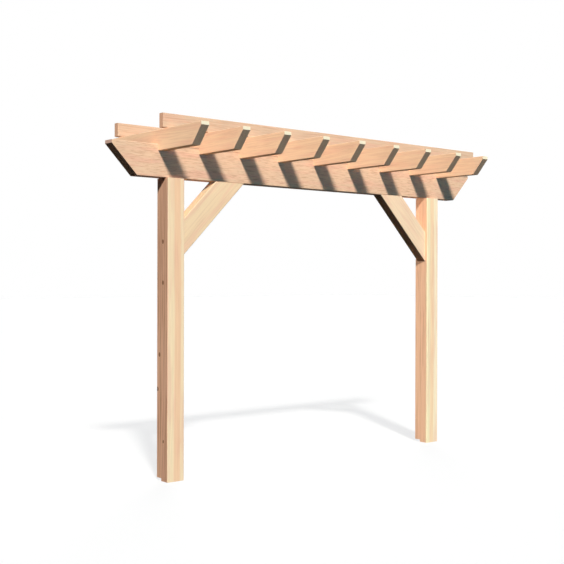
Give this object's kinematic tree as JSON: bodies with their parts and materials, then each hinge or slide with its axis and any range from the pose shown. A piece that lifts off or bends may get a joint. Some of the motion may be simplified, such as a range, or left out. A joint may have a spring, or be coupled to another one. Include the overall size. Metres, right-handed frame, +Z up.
{
  "type": "wooden pergola",
  "caption": "Freestanding timber pergola arch: square posts carry a beam with undercut ends on knee braces, with notched cross rafters and long top battens.",
  "frame": {"origin": "middle of the left post's foot, on the flat face that stands on the ground", "axes": "+X along the beam from the left post to the right one, +Y from the front to the back, +Z up"},
  "size_m": [3.722, 1.132, 2.583],
  "materials": {
    "post_timber": "planed softwood, clear sealed, satin",
    "beam_timber": "planed softwood, clear sealed, satin",
    "brace_timber": "planed softwood, clear sealed, satin",
    "rafter_timber": "planed softwood, clear sealed, satin",
    "batten_timber": "planed softwood, clear sealed, satin"
  },
  "bodies": {
    "root": {"post_left": "post_timber", "post_right": "post_timber", "beam": "beam_timber", "brace_left": "brace_timber", "brace_right": "brace_timber", "batten_front": "batten_timber", "batten_back": "batten_timber", "rafter_1": "rafter_timber", "rafter_2": "rafter_timber", "rafter_3": "rafter_timber", "rafter_4": "rafter_timber", "rafter_5": "rafter_timber", "rafter_6": "rafter_timber", "rafter_7": "rafter_timber", "rafter_8": "rafter_timber", "rafter_9": "rafter_timber"}
  },
  "joints": []
}
